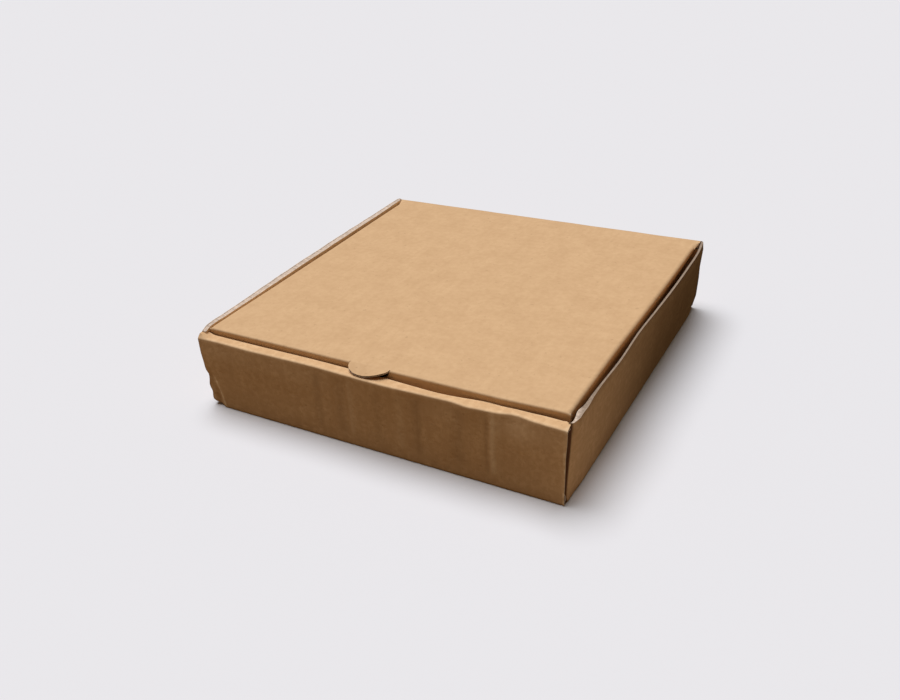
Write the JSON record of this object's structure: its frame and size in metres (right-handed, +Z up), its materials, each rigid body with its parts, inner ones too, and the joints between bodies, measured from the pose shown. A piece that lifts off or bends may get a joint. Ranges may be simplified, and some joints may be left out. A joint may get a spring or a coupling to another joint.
{
  "type": "pizza box",
  "caption": "Square shallow corrugated takeaway box with a hinged lid, tuck-in flaps, a thumb tab and a roll-over front wall.",
  "frame": {"origin": "middle of the underside, where the box stands on a table", "axes": "+X across the front to the right, +Y from the front to the lid's fold at the back, +Z up"},
  "size_m": [0.267, 0.26, 0.0556],
  "materials": {
    "kraft_board_tray": "matt unbleached kraft paper over flutes",
    "kraft_board_lid": "matt unbleached kraft paper over flutes"
  },
  "bodies": {
    "tray": {"tray": "kraft_board_tray"},
    "lid": {"lid": "kraft_board_lid"}
  },
  "joints": [
    {"name": "lid_hinge", "type": "hinge", "parent": "tray", "child": "lid", "pos_m": [0, 0.13, 0.055], "axis": [-1, 0, 0], "range_deg": [0, 190]}
  ]
}
